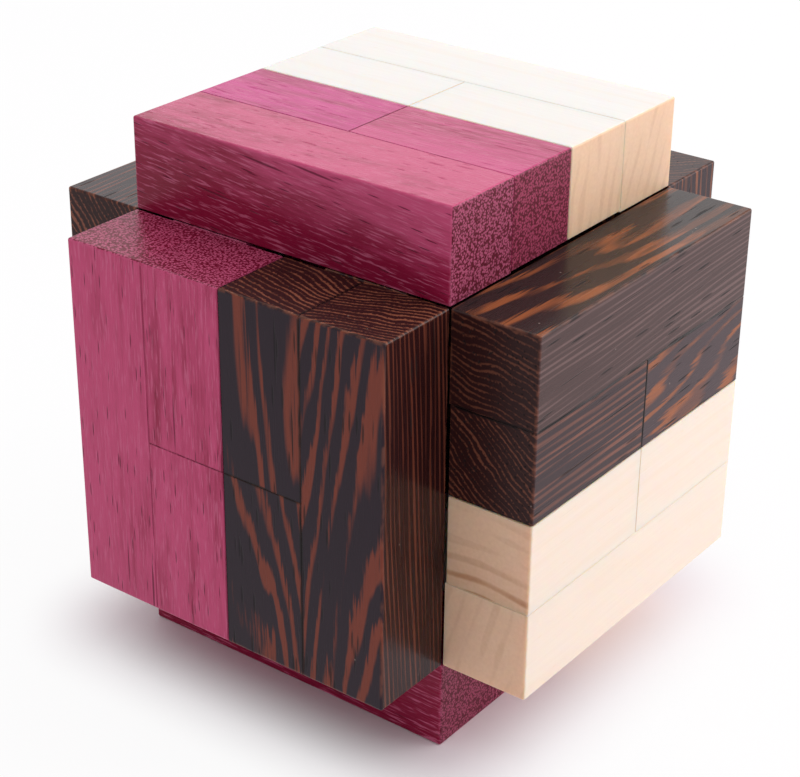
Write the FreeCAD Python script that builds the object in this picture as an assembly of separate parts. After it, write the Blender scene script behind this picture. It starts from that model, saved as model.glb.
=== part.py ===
import FreeCAD, Part
import os
from collections import namedtuple

# An interlocking puzzle of six pieces. Each piece is two half plates of glued bars, held
# apart by one square spine. The six spines thread past each other inside a cube, and the
# half plates cover its six faces. Blocks and posts beside the spines fill the corners of
# the cube, so that each piece can slide outwards by half a bar and no other way.

# Driving dimensions in millimetres.
bar_width = 12.0         # width of one bar, measured across its plate
bar_depth = 12.0         # thickness of one bar, and so of a plate
fit = 0.1                # running clearance between two pieces
outer_ease = 0.3         # rounding of the edges on the outside of a plate, and along a spine
seam_ease = 0.1          # small chamfer where a bar meets its neighbour
short_bar_relief = 0.2   # how far a short bar stands back from the spines
tenon_side = 6.0         # side of a spine's square tenon
tenon_depth = 6.0        # how far a tenon reaches into its half plate
glue_room = 0.5          # depth left free beyond a tenon

# Sizes that follow from them.
core_half = 2 * bar_width                # the inner parts fill a cube, as wide as a plate
plate_inside = core_half + fit           # from the centre to the inner face of a plate
plate_outside = plate_inside + bar_depth
spine_side = bar_width - fit             # a spine passes between two others a bar apart
spine_near = -bar_width + spine_side / 2   # side of a spine towards the centre
spine_far = -bar_width - spine_side / 2    # side of a spine away from it
seam_gap = fit / 2                       # each half plate stops this short of the middle
block_reach = core_half - bar_width / 2    # the blocks stop here, and the posts begin
centre_height = plate_outside            # the puzzle stands on its bottom plate
nearness = 1e-6                          # two lengths closer than this count as equal

X_AXIS, Y_AXIS, Z_AXIS = range(3)


def block(x_limits, y_limits, z_limits):
    """Make a box from its limits along each axis."""
    corner = FreeCAD.Vector(x_limits[0], y_limits[0], z_limits[0])
    length = x_limits[1] - x_limits[0]
    width = y_limits[1] - y_limits[0]
    height = z_limits[1] - z_limits[0]
    return Part.makeBox(length, width, height, corner)


def lies_on(edge, axis, place):
    """Tell whether an edge lies in the plane across an axis at a place."""
    return all(abs(vertex.Point[axis] - place) < nearness for vertex in edge.Vertexes)


def edges_on(shape, planes):
    """List the edges of a shape that lie in any of some planes."""
    return [edge for edge in shape.Edges if any(lies_on(edge, *plane) for plane in planes)]


def eased_bar(blank, seam_planes):
    """Round a bar's outside edges, and take a fine chamfer off those along its seams."""
    seam_edges = edges_on(blank, seam_planes)
    outside_edges = [edge for edge in blank.Edges
                     if not any(edge.isSame(other) for other in seam_edges)]
    rounded = blank.makeFillet(outer_ease, outside_edges)
    return rounded.makeChamfer(seam_ease, edges_on(rounded, seam_planes))


# One piece is drawn with its spine upright and its half plates towards -Y. The bars run
# along X. The long bar is the outer one, and the two short bars meet beside its middle.

def mortise():
    """Make the square hole at the middle of a half plate, where its three bars meet."""
    half = tenon_side / 2
    return block((-half, half), (-bar_width - half, -bar_width + half),
                 (plate_inside, plate_inside + tenon_depth + glue_room))


def long_bar():
    """Make the outer bar of a half plate."""
    blank = block((-core_half, core_half), (-core_half, -bar_width),
                  (plate_inside, plate_outside))
    seams = [(Y_AXIS, -bar_width), (Z_AXIS, plate_inside)]
    return eased_bar(blank, seams).cut(mortise())


def short_bar():
    """Make the inner bar of a half plate that lies towards -X."""
    underside = plate_inside + short_bar_relief
    blank = block((-core_half, 0), (-bar_width, -seam_gap), (underside, plate_outside))
    seams = [(Y_AXIS, -bar_width), (Y_AXIS, -seam_gap), (X_AXIS, 0), (Z_AXIS, underside)]
    return eased_bar(blank, seams).cut(mortise())


def spine():
    """Make the square bar that holds two half plates apart, with a tenon at each end."""
    half_side = spine_side / 2
    half_tenon = tenon_side / 2
    tenon_reach = plate_inside + tenon_depth
    shaft = block((-half_side, half_side), (spine_far, spine_near),
                  (-plate_inside, plate_inside))
    shoulders = [(Z_AXIS, -plate_inside), (Z_AXIS, plate_inside)]
    shoulder_edges = edges_on(shaft, shoulders)
    long_edges = [edge for edge in shaft.Edges
                  if not any(edge.isSame(other) for other in shoulder_edges)]
    tenons = block((-half_tenon, half_tenon), (-bar_width - half_tenon, -bar_width + half_tenon),
                   (-tenon_reach, tenon_reach))
    return shaft.makeFillet(outer_ease, long_edges).fuse(tenons).removeSplitter()


def guide_block():
    """Make the block beside a spine that keeps a crossing spine in its channel."""
    blank = block((spine_side / 2, block_reach - fit / 2), (spine_far, spine_near),
                  (spine_side / 2 + fit, plate_inside))
    return blank.makeChamfer(seam_ease, blank.Edges)


def stop_post():
    """Make the post beside a spine that two crossing plates rest against."""
    blank = block((spine_side / 2, core_half), (spine_far, spine_near),
                  (block_reach + fit / 2, plate_inside))
    return blank.makeChamfer(seam_ease, blank.Edges)


def mirrored(shape, direction):
    """Make the mirror image of a shape across the plane through the centre."""
    return shape.mirror(FreeCAD.Vector(0, 0, 0), direction)


def solid_of(shape):
    """Take the one solid out of a shape."""
    if len(shape.Solids) != 1:
        raise ValueError("a part came out as %d solids" % len(shape.Solids))
    return shape.Solids[0]


# Each piece is the same drawing, turned. A third of a turn about the cube's diagonal takes
# the upright pair to the pair that lies front to back, and again to the pair that lies
# left to right. Half a turn about the spine takes one of a pair to the other. The upright
# pair has nothing beside its spines, because it comes out first, between the others.
Piece = namedtuple("Piece", "name third_turns half_turn low_plate high_plate low_end high_end")

pieces = [
    Piece("front_piece", 0, False, "bottom", "top", "left", "right"),
    Piece("back_piece", 0, True, "bottom", "top", "right", "left"),
    Piece("left_piece", 1, False, "front", "back", "lower", "upper"),
    Piece("right_piece", 1, True, "front", "back", "upper", "lower"),
    Piece("lower_piece", 2, False, "left", "right", "front", "back"),
    Piece("upper_piece", 2, True, "left", "right", "back", "front"),
]
beside_spine = {1: ("post", stop_post), 2: ("block", guide_block)}


def drawing_of_piece(piece):
    """Give the name and shape of each part of a piece, as it is drawn."""
    sideways = FreeCAD.Vector(1, 0, 0)
    upwards = FreeCAD.Vector(0, 0, 1)
    high_parts = {
        "long_bar": long_bar(),
        piece.low_end + "_bar": short_bar(),
        piece.high_end + "_bar": mirrored(short_bar(), sideways),
    }
    if piece.third_turns in beside_spine:
        word, make = beside_spine[piece.third_turns]
        high_parts["%s_%s" % (piece.high_end, word)] = make()
        high_parts["%s_%s" % (piece.low_end, word)] = mirrored(make(), sideways)
    shapes = {"spine": spine()}
    for part_name, part in high_parts.items():
        shapes["%s_%s" % (piece.high_plate, part_name)] = part
        shapes["%s_%s" % (piece.low_plate, part_name)] = mirrored(part, upwards)
    return shapes


def placement_of_piece(piece):
    """Give the turn that brings a piece from its drawing to its place in the puzzle."""
    half_turn = FreeCAD.Rotation(FreeCAD.Vector(0, 0, 1), 180 if piece.half_turn else 0)
    third_turns = FreeCAD.Rotation(FreeCAD.Vector(1, 1, 1), -120 * piece.third_turns)
    centre = FreeCAD.Vector(0, 0, centre_height)
    return FreeCAD.Placement(centre, third_turns.multiply(half_turn))


def main():
    """Write one file for each part of each piece."""
    os.makedirs("parts", exist_ok=True)
    for piece in pieces:
        placement = placement_of_piece(piece)
        for name, shape in drawing_of_piece(piece).items():
            placed = solid_of(shape)
            placed.Placement = placement.multiply(placed.Placement)
            placed.exportStep("parts/%s_%s.step" % (piece.name, name))


main()
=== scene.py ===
"""Give an interlocking puzzle of six pieces its oiled hardwood, and set a stage to show it on."""

import math
import random
from collections import namedtuple

import bmesh
import bpy
from mathutils import Matrix, Vector


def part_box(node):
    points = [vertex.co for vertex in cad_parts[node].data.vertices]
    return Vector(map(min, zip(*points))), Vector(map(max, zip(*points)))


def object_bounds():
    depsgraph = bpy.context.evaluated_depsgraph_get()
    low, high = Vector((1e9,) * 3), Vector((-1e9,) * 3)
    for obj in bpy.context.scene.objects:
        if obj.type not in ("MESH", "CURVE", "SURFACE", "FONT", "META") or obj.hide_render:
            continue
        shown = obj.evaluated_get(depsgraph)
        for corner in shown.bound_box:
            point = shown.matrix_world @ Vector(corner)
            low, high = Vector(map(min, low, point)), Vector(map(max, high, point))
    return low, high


bl_info = {
    "name": "Burr Puzzle Finish",
    "version": (1, 0, 0),
    "blender": (4, 5, 0),
    "location": "3D View > Sidebar > Puzzle",
    "description": "Solid wood for the pieces of a burr puzzle, with a stage and a camera",
    "category": "Material",
}

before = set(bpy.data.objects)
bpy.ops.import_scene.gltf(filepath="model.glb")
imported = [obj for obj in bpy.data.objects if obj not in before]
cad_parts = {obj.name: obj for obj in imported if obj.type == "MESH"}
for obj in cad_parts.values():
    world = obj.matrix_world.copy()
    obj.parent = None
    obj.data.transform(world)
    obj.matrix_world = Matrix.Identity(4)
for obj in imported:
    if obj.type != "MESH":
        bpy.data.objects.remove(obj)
cad_low, cad_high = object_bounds()
CENTRE = (cad_low + cad_high) / 2

MM = 0.001

# The oiled surface, alike on every wood: how strongly it mirrors, and how deep its grain is.
SHEEN = 0.18
RELIEF = 0.02 * MM

# How far light seeps into pale wood: the reach, and the share of it for red, green and blue.
SEEP_REACH = 2.0 * MM
SEEP_SHARES = (1.0, 0.5, 0.22)

# Where each half plate faces, and how the bars and spines of each piece lie.
OUTWARD = {
    "top": Vector((0, 0, 1)),
    "bottom": Vector((0, 0, -1)),
    "front": Vector((0, -1, 0)),
    "back": Vector((0, 1, 0)),
    "left": Vector((-1, 0, 0)),
    "right": Vector((1, 0, 0)),
}
X_WAY, Y_WAY, Z_WAY = Vector((1, 0, 0)), Vector((0, 1, 0)), Vector((0, 0, 1))
BAR_WAY = {
    "front_piece": X_WAY, "back_piece": X_WAY,
    "left_piece": Z_WAY, "right_piece": Z_WAY,
    "upper_piece": Y_WAY, "lower_piece": Y_WAY,
}
SPINE_WAY = {
    "front_piece": Z_WAY, "back_piece": Z_WAY,
    "left_piece": Y_WAY, "right_piece": Y_WAY,
    "upper_piece": X_WAY, "lower_piece": X_WAY,
}

# How a bar was sawn from its board. turn: degrees about the grain, from layers that lie flat on
# the outside face to layers that stand on it at 90. slope: degrees that the layers climb along the
# bar. drift: degrees that the fibres run across the face. tone: deeper in colour below 0, paler
# above. fade: how much paler for each millimetre through the layers, towards the outside. lean: how
# far the colour leans, from red to violet in purpleheart and from black to brown in wenge.
Cut = namedtuple("Cut", "turn slope drift tone fade lean", defaults=(0.0,))

# The bars in view follow the boards of the real ones; some tones and fades also paint light and shade, as
# noted. Any other bar gets a cut of its own.
CUTS = {
    # The front piece's top bars fade paler towards their tops: painted light on top, painted shade low on
    # their front faces.
    "front_piece_top_long_bar": Cut(4, -6, 1, -0.12, 0.06),
    "front_piece_top_left_bar": Cut(12, 1, -2, 0.15, 0.02, 0.8),
    "front_piece_top_right_bar": Cut(20, -1, 1, 0.12, 0.02, 0.3),
    "front_piece_bottom_long_bar": Cut(30, 1, 1, -0.5, 0.0),
    "left_piece_front_long_bar": Cut(70, 0.5, 0.5, 0.3, 0.0),
    "left_piece_front_upper_bar": Cut(60, 0.5, 1, 0.25, 0.0),
    "left_piece_front_lower_bar": Cut(75, -0.5, -1, 0.25, 0.0),
    "right_piece_front_long_bar": Cut(19, 3.4, 0.5, 0.0, 0.0),
    "right_piece_front_upper_bar": Cut(-15, 1.4, 0.5, 0.0, 0.0),
    "right_piece_front_lower_bar": Cut(-15, 3.2, 0.5, 0.0, 0.0),
    # The bars of the upper piece's right plate are paler: painted sheen, the grey haze of reflected light
    # on faces turned to the right.
    "upper_piece_right_long_bar": Cut(-80, 1.6, 0.3, 0.2, 0.0, 1.0),
    "upper_piece_right_front_bar": Cut(-51, 0.8, 1, 0.14, 0.0),
    "upper_piece_right_back_bar": Cut(13, -4, 2, 0.6, 0.0),
    # The back piece's top bars are nearly white: partly the maple's own paleness, partly painted light on
    # their brightly lit tops.
    "back_piece_top_long_bar": Cut(70, 0.5, 0.5, 0.8, 0.0),
    "back_piece_top_left_bar": Cut(40, 0.5, 0.5, 0.8, 0.0),
    "back_piece_top_right_bar": Cut(80, 0.5, 0.0, 0.75, 0.0),
    "lower_piece_right_long_bar": Cut(16, 0.5, 0.5, 0.0, 0.0),
    "lower_piece_right_front_bar": Cut(-88, 0.3, 0.0, -0.1, 0.06),
    "lower_piece_right_back_bar": Cut(-70, 0.5, 0.0, 0.0, 0.0),
}


def cut_of(node_name):
    """Give the cut of a part: the one chosen for it, or one drawn from its own name."""
    if node_name in CUTS:
        return CUTS[node_name]
    draw = random.Random(node_name)
    return Cut(draw.uniform(-90, 90), draw.uniform(-1.5, 1.5), draw.uniform(-4, 4),
               draw.uniform(-0.1, 0.25), draw.uniform(-0.02, 0.02))


def piece_of(node_name):
    """Give the name of the piece that a part belongs to."""
    return "_".join(node_name.split("_")[:2])


def plate_of(node_name):
    """Give the plate that a part lies in or beside, or None for a spine."""
    word = node_name.split("_")[2]
    return word if word in OUTWARD else None


def is_bar(node_name):
    """Tell whether a part is a bar of a half plate."""
    return node_name.endswith("_bar")


def joint_box(node_names):
    """Give the lowest and highest corner around some parts."""
    boxes = [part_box(name) for name in node_names]
    low = Vector([min(box[0][axis] for box in boxes) for axis in range(3)])
    high = Vector([max(box[1][axis] for box in boxes) for axis in range(3)])
    return low, high


def edge_mark_box(node_name):
    """Give the box whose edges get pale marks: the whole plate for a bar, and else the part itself."""
    if not is_bar(node_name):
        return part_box(node_name)
    plate = plate_of(node_name)
    return joint_box([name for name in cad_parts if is_bar(name) and plate_of(name) == plate])


def grain_axes(node_name, cut):
    """Give the directions along the grain, through the layers and across both, in a part."""
    piece = piece_of(node_name)
    plate = plate_of(node_name)
    if plate is None or node_name.endswith("_block"):
        along = SPINE_WAY[piece]
    else:
        along = BAR_WAY[piece]
    if plate is None:
        outward = BAR_WAY[piece]
    elif node_name.endswith("_block"):
        outward = along.cross(BAR_WAY[piece])
    else:
        outward = OUTWARD[plate]
    turned = Matrix.Rotation(math.radians(cut.turn), 3, along)
    layer = turned @ outward
    side = turned @ along.cross(outward)
    climb = Matrix.Rotation(math.radians(cut.slope), 3, side)
    drift = Matrix.Rotation(math.radians(cut.drift), 3, layer)
    tipped = drift @ climb
    return tipped @ along, tipped @ layer, tipped @ side


def linear(red, green, blue):
    """Turn a colour as seen on a screen, from 0 to 255, into the values that light adds up in."""
    shares = [value / 255 for value in (red, green, blue)]
    return tuple(s / 12.92 if s <= 0.04045 else ((s + 0.055) / 1.055) ** 2.4 for s in shares)


def blend(first, second, share):
    """Mix a share of a second colour into a first one."""
    return tuple(a + share * (b - a) for a, b in zip(first, second))


def rgba(colour):
    """Give a colour with the fourth value that a colour socket holds."""
    return (*colour, 1.0)


class Field:
    """What a node puts out. Arithmetic on it adds Math nodes to its tree."""

    def __init__(self, recipe, socket):
        self.recipe = recipe
        self.socket = socket

    def __add__(self, other):
        return self.recipe.maths("ADD", self, other)

    def __radd__(self, other):
        return self.recipe.maths("ADD", other, self)

    def __sub__(self, other):
        return self.recipe.maths("SUBTRACT", self, other)

    def __rsub__(self, other):
        return self.recipe.maths("SUBTRACT", other, self)

    def __mul__(self, other):
        return self.recipe.maths("MULTIPLY", self, other)

    def __rmul__(self, other):
        return self.recipe.maths("MULTIPLY", other, self)

    def __abs__(self):
        return self.recipe.maths("ABSOLUTE", self)


class Recipe:
    """A node tree that is being filled. Each call adds a node and gives what it puts out."""

    def __init__(self, tree):
        self.tree = tree
        tree.nodes.clear()

    def node(self, kind, settings=None, sockets=None):
        """Add a node: its settings first, then the values or links of its sockets."""
        node = self.tree.nodes.new("ShaderNode" + kind)
        for name, value in (settings or {}).items():
            setattr(node, name, value)
        by_name = {socket.identifier: socket for socket in node.inputs}
        for name, value in (sockets or {}).items():
            if isinstance(value, Field):
                self.tree.links.new(value.socket, by_name[name])
            else:
                by_name[name].default_value = value
        return {socket.identifier: Field(self, socket) for socket in node.outputs}

    def maths(self, operation, *values):
        """Work out a number."""
        sockets = dict(zip(("Value", "Value_001", "Value_002"), values))
        return self.node("Math", {"operation": operation}, sockets)["Value"]

    def vector_maths(self, operation, *values):
        """Work out a vector."""
        sockets = dict(zip(("Vector", "Vector_001", "Vector_002"), values))
        return self.node("VectorMath", {"operation": operation}, sockets)["Vector"]

    def dot(self, vector, direction):
        """Give how far a vector reaches in a direction."""
        sockets = {"Vector": vector, "Vector_001": direction}
        return self.node("VectorMath", {"operation": "DOT_PRODUCT"}, sockets)["Value"]

    def rise(self, value, low, high):
        """Climb smoothly from 0 to 1 while a value goes from low to high."""
        sockets = {"Value": value, "From Min": low, "From Max": high}
        return self.node("MapRange", {"interpolation_type": "SMOOTHSTEP"}, sockets)["Result"]

    def mix(self, share, first, second):
        """Blend a share of the second colour into the first."""
        sockets = {"Factor_Float": share, "A_Color": first, "B_Color": second}
        return self.node("Mix", {"data_type": "RGBA"}, sockets)["Result_Color"]

    def seen_directly(self):
        """Give 1 for what the camera sees, straight on, mirrored or through glass, and else 0."""
        rays = self.node("LightPath")
        seen = self.maths("MAXIMUM", rays["Is Camera Ray"], rays["Is Glossy Ray"])
        return self.maths("MAXIMUM", seen, rays["Is Transmission Ray"])


class WoodRecipe(Recipe):
    """The material of one part, worked out from where a point lies in the board it was sawn from."""

    def __init__(self, node_name):
        self.material = bpy.data.materials.new(node_name + "_wood")
        self.material.use_nodes = True
        super().__init__(self.material.node_tree)
        self.cut = cut_of(node_name)
        along, layer, side = grain_axes(node_name, self.cut)
        low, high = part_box(node_name)
        coordinates = self.node("TexCoord")
        from_middle = self.vector_maths("SUBTRACT", coordinates["Object"], (low + high) / 2)
        self.along = self.dot(from_middle, along / MM)
        self.layer = self.dot(from_middle, layer / MM)
        self.side = self.dot(from_middle, side / MM)
        draw = random.Random(node_name + " board")
        board = [draw.uniform(100, 900) for _ in range(3)]
        in_bar = self.node("CombineXYZ", {}, {"X": self.along, "Y": self.layer, "Z": self.side})
        self.in_board = self.vector_maths("ADD", in_bar["Vector"], board)
        # 1 on faces cut across the grain, and 1 on faces that lie flat along a layer.
        self.end = self.rise(abs(self.dot(coordinates["Normal"], along)), 0.55, 0.8)
        self.flat = self.rise(abs(self.dot(coordinates["Normal"], layer)), 0.3, 0.9)
        # Pale edges of a plate, in patches: partly wear, partly painted highlight. Joints show away from
        # them.
        self.to_own_edge = self.to_edge(coordinates["Object"], low, high)
        to_plate_edge = self.to_edge(coordinates["Object"], *edge_mark_box(node_name))
        patchy = self.rise(self.figure(length=2.5, width=1.2), 0.4, 0.65)
        self.wear_and_edge_highlight = patchy * (1 - self.rise(to_plate_edge, 0.1, 0.45))
        self.off_plate_edge = self.rise(to_plate_edge, 0.3, 0.6)

    def to_edge(self, place, low, high):
        """Give the distance in millimetres from a point on a box to its nearest edge."""
        from_middle = self.vector_maths("SUBTRACT", place, (low + high) / 2)
        reach = self.vector_maths("ABSOLUTE", from_middle)
        inside = self.vector_maths("SUBTRACT", (high - low) / 2, reach)
        depths = self.node("SeparateXYZ", {}, {"Vector": inside})
        x, y, z = depths["X"], depths["Y"], depths["Z"]
        least = self.maths("MINIMUM", self.maths("MINIMUM", x, y), z)
        most = self.maths("MAXIMUM", self.maths("MAXIMUM", x, y), z)
        return (x + y + z - least - most) * (1 / MM)

    def figure(self, length, width, detail=2.0):
        """Make soft marks of a length along the grain and a width across it, in millimetres."""
        scale = (1 / length, 1 / width, 1 / width)
        place = self.vector_maths("MULTIPLY", self.in_board, scale)
        return self.node("TexNoise", {}, {"Vector": place, "Scale": 1.0, "Detail": detail})["Fac"]

    def layers(self, depth, spacing):
        """Make layers that repeat through the depth: a wave, and how bold each layer is."""
        patch_length = 28
        patch_width = 8
        own_place = self.node("CombineXYZ", {}, {
            "X": self.along * (1 / patch_length),
            "Y": depth * (0.7 / spacing),
            "Z": self.side * (1 / patch_width),
        })
        sockets = {"Vector": own_place["Vector"], "Scale": 1.0, "Detail": 1.0}
        boldness = self.node("TexNoise", {}, sockets)
        wave = self.maths("SINE", depth * (2 * math.pi / spacing))
        return wave, boldness["Fac"] - 0.5

    def vessels(self, length, spacing, bore, share):
        """Make pores that are dashes along the grain and dots on an end; only a share is open."""
        scale = (1 / length, 1 / spacing, 1 / spacing)
        place = self.vector_maths("MULTIPLY", self.in_board, scale)
        cells = self.node("TexVoronoi", {}, {"Vector": place, "Scale": 1.0})
        chance = self.node("SeparateColor", {}, {"Color": cells["Color"]})["Red"]
        is_open = self.maths("LESS_THAN", chance, share)
        return is_open * (1 - self.rise(cells["Distance"], 0.5 * bore, bore))

    def seam(self, width):
        """Mark the joints to a part's neighbours, open in some places and tight in others: partly grime,
        partly painted shade in the gaps.
        """
        is_open = self.rise(self.figure(length=6, width=6), 0.3, 0.6)
        return is_open * (1 - self.rise(self.to_own_edge, 0.4 * width, width)) * self.off_plate_edge

    def finish(self, colour, roughness, height, glow=0.0):
        """Join the fields to the shader of oiled wood. Glow: the share of light that seeps in."""
        bump = self.node("Bump", {}, {"Height": height, "Distance": RELIEF, "Strength": 1.0})
        shader = self.node("BsdfPrincipled", {}, {
            "Base Color": colour,
            "Roughness": roughness,
            "Normal": bump["Normal"],
            "Specular IOR Level": SHEEN,
            "Subsurface Weight": glow,
            "Subsurface Radius": SEEP_SHARES,
            "Subsurface Scale": SEEP_REACH,
        })
        self.node("OutputMaterial", {}, {"Surface": shader["BSDF"]})
        return self.material


def purpleheart(node_name, look):
    """Make the material of a purpleheart part."""
    wood = WoodRecipe(node_name)
    broad = wood.figure(length=60, width=5)
    mottle = wood.figure(length=9, width=1.4)
    fibre = wood.figure(length=9, width=0.25)
    fleck = wood.rise(wood.figure(length=3, width=0.23), 0.54, 0.66)
    vessel = wood.vessels(length=6, spacing=0.5, bore=0.21, share=0.8)
    fissure = wood.vessels(length=40, spacing=1.4, bore=0.14, share=1.0)
    pore = wood.maths("MAXIMUM", vessel, fissure)
    # The pale tissue shows as crowded dots on an end.
    speckle = wood.vessels(length=2, spacing=0.31, bore=0.65, share=0.97)

    # On the front piece's top bars the fade paints light and shade: paler on top, darker towards the
    # bottom of their front faces.
    depth = 0.9 * broad + 0.8 * mottle + 0.5 * fibre - wood.cut.fade * wood.layer - wood.cut.tone
    depth = wood.rise(depth, 0.65, 1.4)
    heart = blend(look.heart, look.violet, wood.cut.lean)
    face = wood.mix(depth, rgba(heart), rgba(look.deep))
    face = wood.mix(fleck * (0.4 + 0.2 * depth), face, rgba(look.fleck))
    face = wood.mix((0.75 - 0.45 * wood.flat) * pore, face, rgba(look.vessel))
    paleness = 2 * max(0.0, wood.cut.tone - 0.12)
    end_ground = blend(look.end, look.deep, paleness)
    end_fleck = blend(look.end_fleck, look.heart, paleness)
    end_fleck = blend(end_fleck, look.deep, min(1.0, 1.5 * wood.cut.lean))
    end_fleck = blend(end_fleck, look.end, 0.6 * max(0.0, -wood.cut.tone))
    end = wood.mix(speckle, rgba(end_ground), rgba(end_fleck))
    end = wood.mix(0.8 * vessel, end, rgba(look.vessel))
    colour = wood.mix(wood.end, face, end)
    # Pale edges: partly wear, partly painted highlight where the edges catch the light.
    colour = wood.mix(0.3 * wood.wear_and_edge_highlight, colour, rgba(look.fleck))
    # Dark joint lines: partly grime, partly painted shade in the gaps between bars.
    colour = wood.mix(0.3 * wood.seam(0.2), colour, rgba(look.vessel))

    roughness = 0.22 + 0.12 * fibre + 0.3 * pore + 0.08 * wood.end
    height = 0.3 * fibre + 0.2 * fleck - pore
    return wood.finish(colour, roughness, height)


def wenge(node_name, look):
    """Make the material of a wenge part."""
    wood = WoodRecipe(node_name)
    sway = wood.figure(length=50, width=8, detail=1.0) - 0.5
    ripple = wood.figure(length=40, width=2.0) - 0.5
    strand = wood.figure(length=14, width=0.3) - 0.5
    fibre = wood.figure(length=12, width=0.25)
    crack = wood.vessels(length=45, spacing=1.0, bore=0.16, share=1.0)
    vessel = wood.vessels(length=7, spacing=0.7, bore=0.3, share=0.4)
    pore = wood.maths("MAXIMUM", crack, 0.85 * vessel)
    grit = wood.vessels(length=1.2, spacing=1.2, bore=0.12, share=0.03)

    # Brown layers show as flames on a flat face, and as fine lines on the others.
    depth = wood.layer + 3.0 * sway + 0.6 * ripple + 0.25 * strand
    wave, boldness = wood.layers(depth, look.layer_spacing / MM)
    flame = wave + wood.maths("MINIMUM", 0.1, 3.8 * boldness - 0.4) + 1.6 * strand
    flame = wood.rise(flame, -0.4, 0.5)
    line = wood.rise(wave + 2.4 * boldness + 2.4 * strand, 0.2, 1.4)
    # A paler board's flames break up into blotches and turn gold, and its layers turn grey: painted
    # sheen, a haze of reflected light.
    paleness_and_sheen = max(0.0, wood.cut.tone)
    evenness = max(0.3, 1 - 4 * paleness_and_sheen)
    blotch = wood.rise(wood.figure(length=14, width=2.2), 0.41, 0.57)
    flame = flame * (evenness + (1 - evenness) * blotch)
    line_share = 0.6 - min(0.1, paleness_and_sheen)
    end_line_share = max(0.4, 1 - 2.7 * paleness_and_sheen)
    band = wood.flat * flame + (1 - wood.flat) * line_share * line

    flat_fibre = blend(look.fibre, look.brown, wood.cut.lean)
    fibre_colour = wood.mix(wood.flat, rgba(look.end_fibre), rgba(flat_fibre))
    fibre_colour = wood.mix(paleness_and_sheen - 0.7 * paleness_and_sheen * wood.flat, fibre_colour, rgba(look.paleness_and_sheen))
    line_colour = blend(blend(look.band, look.end_band, 0.5), look.paleness_and_sheen, min(1.0, 5 * paleness_and_sheen))
    flame_colour = blend(look.band, look.gold, min(0.4, 2 * paleness_and_sheen))
    band_colour = wood.mix(wood.flat, rgba(line_colour), rgba(flame_colour))
    face = wood.mix(band, fibre_colour, band_colour)
    end = wood.mix(end_line_share * line, rgba(look.end_fibre), rgba(look.end_band))
    colour = wood.mix(wood.end, face, end)
    colour = wood.mix(0.3 * fibre, colour, rgba(look.vessel))
    colour = wood.mix(0.85 * pore, colour, rgba(look.vessel))
    colour = wood.mix(0.4 * grit, colour, rgba(look.grit))
    # Pale edges: partly wear, partly painted highlight where the edges catch the light.
    colour = wood.mix(0.4 * wood.wear_and_edge_highlight, colour, rgba(look.end_band))
    # Dark joint lines: partly grime, partly painted shade in the gaps between bars.
    colour = wood.mix(0.9 * wood.seam(0.35), colour, rgba(look.vessel))

    roughness = 0.2 + 0.12 * fibre + 0.3 * pore + 0.08 * wood.end
    height = 0.4 * fibre + 0.2 * band - pore
    return wood.finish(colour, roughness, height)


def maple(node_name, look):
    """Make the material of a maple part."""
    wood = WoodRecipe(node_name)
    sway = wood.figure(length=80, width=12, detail=1.0) - 0.5
    fibre = wood.figure(length=12, width=0.3)
    broad = wood.figure(length=50, width=4)
    mottle = wood.figure(length=2, width=0.5)
    ray = wood.vessels(length=4, spacing=0.7, bore=0.14, share=0.6)

    depth = wood.layer + 2.5 * sway + 0.006 * wood.side * wood.side
    wave, boldness = wood.layers(depth, look.ring_spacing / MM)
    ring = wood.rise(wave + 4.0 * boldness, 0.3, 1.2)
    late_wood = wood.rise(wave + 1.5 * boldness, -0.1, 0.9)

    # Paler boards turn towards white; on the top plate this is partly painted light, the near-white of
    # brightly lit tops.
    pale = blend(look.pale, look.white, max(0.0, wood.cut.tone))
    face = wood.mix(0.08 * ring + 0.12 * broad, rgba(pale), rgba(look.ring))
    face = wood.mix(0.25 * ray, face, rgba(look.ring))
    # A deeper board has dark late wood on its ends.
    stain = wood.rise(0.45 - wood.cut.tone - wood.cut.fade * wood.layer, 0.5, 1.0)
    darkness = 0.12 * ring + 0.1 * broad + 0.2 * mottle + stain * (0.2 + 0.6 * late_wood)
    end = wood.mix(darkness, rgba(look.end), rgba(look.end_ring))
    colour = wood.mix(wood.end, face, end)
    colour = wood.mix(0.1 * fibre, colour, rgba(look.end_ring))
    # Pale warm edges: partly wear, partly painted highlight, the glow of edges in the light.
    colour = wood.mix(0.35 * wood.wear_and_edge_highlight, colour, rgba(look.ring))
    # Tan joint lines: partly glue, partly painted shade in the gaps between bars.
    colour = wood.mix(0.5 * wood.seam(0.15), colour, rgba(look.ring))

    roughness = 0.25 + 0.1 * fibre + 0.08 * wood.end
    height = 0.3 * fibre - 0.4 * ray
    return wood.finish(colour, roughness, height, look.glow)


def colour_property(name, description, *screen_colour):
    """Make a property that holds a colour."""
    return bpy.props.FloatVectorProperty(
        name=name, description=description, subtype="COLOR", size=3, min=0.0, max=1.0,
        default=linear(*screen_colour))


def length_property(name, description, default):
    """Make a property that holds a length."""
    return bpy.props.FloatProperty(
        name=name, description=description, subtype="DISTANCE", unit="LENGTH", min=0.0,
        precision=4, default=default)


def share_property(name, description, default):
    """Make a property that holds a share of the whole."""
    return bpy.props.FloatProperty(
        name=name, description=description, subtype="FACTOR", min=0.0, max=1.0, default=default)


def power_property(name, description, default):
    """Make a property that holds a lamp's power."""
    return bpy.props.FloatProperty(
        name=name, description=description, subtype="POWER", unit="POWER", min=0.0,
        default=default)


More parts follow.
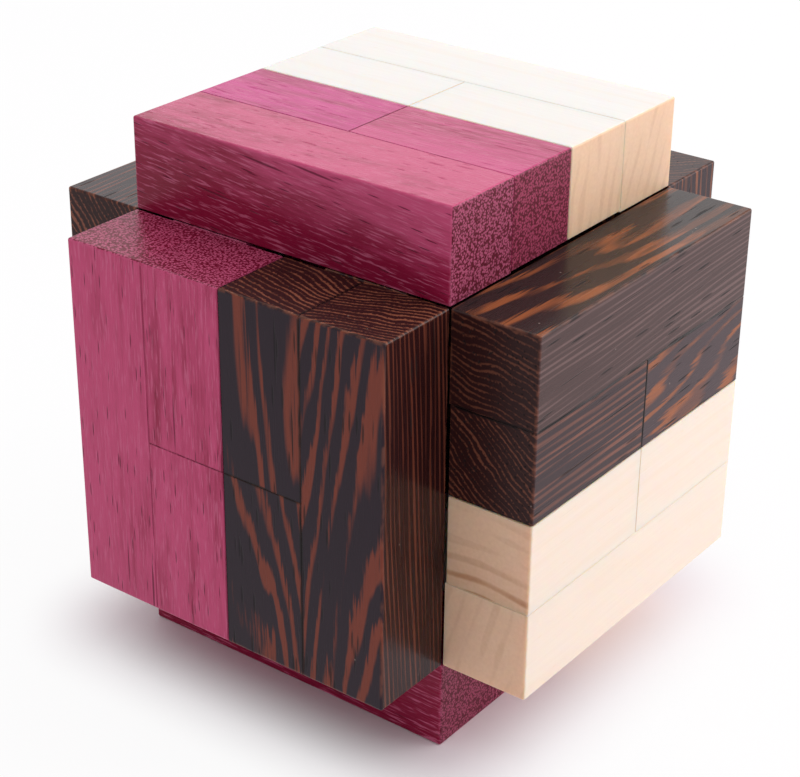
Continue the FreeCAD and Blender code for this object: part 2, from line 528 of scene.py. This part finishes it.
class PurpleheartLook(bpy.types.PropertyGroup):
    """Colours of the purpleheart."""

    heart: colour_property("Heart", "Most of a sawn face", 200, 75, 119)
    violet: colour_property("Violet", "Most of a sawn face of a cooler board", 198, 44, 132)
    deep: colour_property("Deep", "Deeper streaks of a sawn face", 140, 14, 56)
    vessel: colour_property("Vessel", "Inside of a pore", 80, 8, 34)
    fleck: colour_property("Fleck", "Pale tissue round the pores of a sawn face", 214, 112, 148)
    end: colour_property("End", "End grain between the flecks", 88, 0, 30)
    end_fleck: colour_property("End fleck", "Pale tissue on an end", 174, 80, 112)


class WengeLook(bpy.types.PropertyGroup):
    """Colours and layers of the wenge."""

    fibre: colour_property("Fibre", "Dark layers on a sawn face", 40, 24, 37)
    brown: colour_property("Brown", "Dark layers on a sawn face of a browner board", 28, 13, 9)
    band: colour_property("Band", "Brown layers on a sawn face", 130, 59, 42)
    # Painted sheen: the grey haze of reflected light on the bars that face right.
    paleness_and_sheen: colour_property("Silver", "What the dark layers of a paler board turn towards", 138, 107, 104)
    gold: colour_property("Gold", "What the brown layers of a paler board turn towards", 190, 118, 60)
    vessel: colour_property("Vessel", "Inside of a pore or crack", 14, 8, 10)
    end_fibre: colour_property("End fibre", "Dark layers on an end", 47, 18, 18)
    end_band: colour_property("End band", "Pale layers on an end", 144, 86, 64)
    grit: colour_property("Grit", "Mineral in some pores", 190, 170, 160)
    layer_spacing: length_property("Layer spacing", "From one brown layer to the next", 0.8 * MM)


class MapleLook(bpy.types.PropertyGroup):
    """Colours and rings of the maple."""

    pale: colour_property("Pale", "Most of a sawn face", 243, 228, 213)
    # Partly painted light: the near-white of brightly lit tops.
    white: colour_property("White", "Most of a sawn face of a paler board", 235, 236, 237)
    ring: colour_property("Ring", "Late wood on a sawn face", 236, 204, 166)
    end: colour_property("End", "Most of an end", 246, 212, 181)
    end_ring: colour_property("End ring", "Late wood on an end", 176, 118, 76)
    ring_spacing: length_property("Ring spacing", "From one growth ring to the next", 2.2 * MM)
    glow: share_property("Glow", "Share of the light that seeps into the wood", 0.45)


class StageLook(bpy.types.PropertyGroup):
    """Floor, light and camera."""

    floor: colour_property("Floor", "Colour of the floor", 250, 243, 250)
    shade_reach: length_property("Shade reach", "How far from the puzzle the floor is white", 20 * MM)
    ambient: share_property("Ambient", "Light from all round", 0.5)
    sky_power: power_property("Sky power", "Soft lamp overhead", 2.0)
    back_power: power_property("Back power", "Soft lamp behind the puzzle, at the left", 0.6)
    key_power: power_property("Key power", "Soft lamp behind the puzzle, at the right", 1.95)
    lens: bpy.props.FloatProperty(
        name="Lens", description="Focal length on a frame 36 mm wide", subtype="DISTANCE_CAMERA",
        unit="CAMERA", min=1.0, default=91.2)


class PuzzleLook(bpy.types.PropertyGroup):
    """All that a user may change."""

    purpleheart: bpy.props.PointerProperty(type=PurpleheartLook)
    wenge: bpy.props.PointerProperty(type=WengeLook)
    maple: bpy.props.PointerProperty(type=MapleLook)
    stage: bpy.props.PointerProperty(type=StageLook)


def finish_pieces(pieces, make_material, look):
    """Give every part of some pieces a material of its own."""
    node_names = [name for name in sorted(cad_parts) if piece_of(name) in pieces]
    if not node_names:
        raise RuntimeError("no part belongs to %s" % ", ".join(pieces))
    for name in node_names:
        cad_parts[name].material_slots[0].material = make_material(name, look)


class PUZZLE_OT_purpleheart(bpy.types.Operator):
    """Finish the front and the left piece in purpleheart"""

    bl_idname = "puzzle.purpleheart"
    bl_label = "Finish Purpleheart Pieces"

    def execute(self, context):
        finish_pieces(("front_piece", "left_piece"), purpleheart, context.scene.puzzle.purpleheart)
        return {"FINISHED"}


class PUZZLE_OT_wenge(bpy.types.Operator):
    """Finish the right and the upper piece in wenge"""

    bl_idname = "puzzle.wenge"
    bl_label = "Finish Wenge Pieces"

    def execute(self, context):
        finish_pieces(("right_piece", "upper_piece"), wenge, context.scene.puzzle.wenge)
        return {"FINISHED"}


class PUZZLE_OT_maple(bpy.types.Operator):
    """Finish the back and the lower piece in maple"""

    bl_idname = "puzzle.maple"
    bl_label = "Finish Maple Pieces"

    def execute(self, context):
        finish_pieces(("back_piece", "lower_piece"), maple, context.scene.puzzle.maple)
        return {"FINISHED"}


# The floor: its radius and number of sides, how far it lies below the puzzle, the size of the
# tooth of its paper, and how white it gets away from the puzzle.
FLOOR_RADIUS = 3.0
FLOOR_SIDES = 96
FLOOR_GAP = 0.02 * MM
TOOTH_SIZE = 1 / 900
TOOTH_DEPTH = 0.03 * MM
FLOOR_WHITENESS = 0.92


def add_floor(look):
    """Lay a wide round floor under the puzzle."""
    mesh = bpy.data.meshes.new("floor")
    disc = bmesh.new()
    bmesh.ops.create_circle(disc, cap_ends=True, segments=FLOOR_SIDES, radius=FLOOR_RADIUS)
    bmesh.ops.translate(disc, verts=disc.verts, vec=(0, 0, cad_low.z - FLOOR_GAP))
    disc.to_mesh(mesh)
    disc.free()
    floor = bpy.data.objects.new("floor", mesh)
    bpy.context.scene.collection.objects.link(floor)

    material = bpy.data.materials.new("floor_paper")
    material.use_nodes = True
    paper = Recipe(material.node_tree)
    place = paper.node("TexCoord")["Object"]
    tooth = paper.node("TexNoise", {}, {
        "Vector": place,
        "Scale": 1 / TOOTH_SIZE,
        "Detail": 3.0,
    })["Fac"]
    bump = paper.node("Bump", {}, {"Height": tooth, "Distance": TOOTH_DEPTH, "Strength": 0.4})
    shader = paper.node("BsdfPrincipled", {}, {
        "Base Color": rgba(look.floor),
        "Roughness": 0.85,
        "Normal": bump["Normal"],
        "Specular IOR Level": 0.2,
    })
    white = paper.node("Emission", {}, {"Color": rgba((1, 1, 1)), "Strength": 1.0})
    # The floor takes the shade of the puzzle near its bottom plate, and turns white further off.
    bottom_parts = [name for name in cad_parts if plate_of(name) == "bottom"]
    plate_low, plate_high = joint_box(bottom_parts)
    half_plate = (plate_high - plate_low) / 2
    beside = paper.vector_maths("SUBTRACT", paper.vector_maths("ABSOLUTE", place), half_plate)
    outside = paper.vector_maths("MAXIMUM", beside, (0, 0, 0))
    away = paper.node("VectorMath", {"operation": "LENGTH"}, {"Vector": outside})["Value"]
    share = FLOOR_WHITENESS * paper.rise(away, 0.0, look.shade_reach) * paper.seen_directly()
    ground = paper.node("MixShader", {}, {
        "Fac": share,
        "Shader": shader["BSDF"],
        "Shader_001": white["Emission"],
    })
    paper.node("OutputMaterial", {}, {"Surface": ground["Shader"]})
    mesh.materials.append(material)


def add_world(look):
    """Surround the scene with even light that shows as white."""
    world = bpy.data.worlds.new("studio")
    world.use_nodes = True
    bpy.context.scene.world = world
    sky = Recipe(world.node_tree)
    strength = look.ambient + (1 - look.ambient) * sky.seen_directly()
    light = sky.node("Background", {}, {"Color": rgba((1, 1, 1)), "Strength": strength})
    sky.node("OutputWorld", {}, {"Surface": light["Background"]})


# Where a lamp hangs, from the puzzle's centre: its direction, its distance and its width in metres.
LampPlace = namedtuple("LampPlace", "direction distance width")
SKY_PLACE = LampPlace(Vector((0.1, 0.15, 1.0)), 0.6, 0.7)
BACK_PLACE = LampPlace(Vector((-0.5, 0.75, 0.5)), 0.7, 0.7)
KEY_PLACE = LampPlace(Vector((0.75, 0.65, 0.35)), 0.6, 0.5)


def add_lamp(name, place, power):
    """Hang a square soft lamp that faces the puzzle from its place."""
    lamp = bpy.data.lights.new(name, "AREA")
    lamp.size = place.width
    lamp.energy = power
    holder = bpy.data.objects.new(name, lamp)
    away = place.direction.normalized()
    holder.location = CENTRE + place.distance * away
    holder.rotation_euler = (-away).to_track_quat("-Z", "Y").to_euler()
    bpy.context.scene.collection.objects.link(holder)


# The camera's place and aim, from the puzzle's centre, and its tilt about the line of sight.
CAMERA_PLACE = Vector((142.86, -192.16, 117.90)) * MM
CAMERA_AIM = Vector((0.22, -1.39, -2.47)) * MM
CAMERA_ROLL = math.radians(0.67)
CAMERA_NEAREST = 0.01
SENSOR_WIDTH_IN_MM = 36.0


def add_camera(look):
    """Set up the camera at the photograph's viewing angle."""
    camera = bpy.data.cameras.new("camera")
    camera.lens = look.lens
    camera.sensor_width = SENSOR_WIDTH_IN_MM
    camera.clip_start = CAMERA_NEAREST
    camera.dof.use_dof = False
    holder = bpy.data.objects.new("camera", camera)
    sight = (CAMERA_AIM - CAMERA_PLACE).to_track_quat("-Z", "Y").to_matrix()
    roll = Matrix.Rotation(CAMERA_ROLL, 3, "Z")
    holder.matrix_world = Matrix.Translation(CENTRE + CAMERA_PLACE) @ (sight @ roll).to_4x4()
    bpy.context.scene.collection.objects.link(holder)
    bpy.context.scene.camera = holder


class PUZZLE_OT_stage(bpy.types.Operator):
    """Set up the floor, the light and the camera"""

    bl_idname = "puzzle.stage"
    bl_label = "Set Up Stage"

    def execute(self, context):
        look = context.scene.puzzle.stage
        context.scene.view_settings.view_transform = "Standard"
        add_floor(look)
        add_world(look)
        add_lamp("sky_lamp", SKY_PLACE, look.sky_power)
        add_lamp("back_lamp", BACK_PLACE, look.back_power)
        add_lamp("key_lamp", KEY_PLACE, look.key_power)
        add_camera(look)
        return {"FINISHED"}


class PUZZLE_PT_panel(bpy.types.Panel):
    """List the looks and the steps that use them"""

    bl_idname = "PUZZLE_PT_panel"
    bl_label = "Burr Puzzle"
    bl_space_type = "VIEW_3D"
    bl_region_type = "UI"
    bl_category = "Puzzle"

    def draw(self, context):
        look = context.scene.puzzle
        steps = (
            (look.purpleheart, PUZZLE_OT_purpleheart),
            (look.wenge, PUZZLE_OT_wenge),
            (look.maple, PUZZLE_OT_maple),
            (look.stage, PUZZLE_OT_stage),
        )
        for group, operator in steps:
            box = self.layout.box()
            for name in group.__annotations__:
                box.prop(group, name)
            box.operator(operator.bl_idname)


CLASSES = (
    PurpleheartLook,
    WengeLook,
    MapleLook,
    StageLook,
    PuzzleLook,
    PUZZLE_OT_purpleheart,
    PUZZLE_OT_wenge,
    PUZZLE_OT_maple,
    PUZZLE_OT_stage,
    PUZZLE_PT_panel,
)


def register():
    """Make the properties, steps and panel known to Blender."""
    for cls in CLASSES:
        bpy.utils.register_class(cls)
    bpy.types.Scene.puzzle = bpy.props.PointerProperty(type=PuzzleLook)


def unregister():
    """Take them out again."""
    del bpy.types.Scene.puzzle
    for cls in reversed(CLASSES):
        bpy.utils.unregister_class(cls)


def main():
    """Run every step."""
    register()
    bpy.ops.puzzle.purpleheart()
    bpy.ops.puzzle.wenge()
    bpy.ops.puzzle.maple()
    bpy.ops.puzzle.stage()


if __name__ == "__main__":
    main()
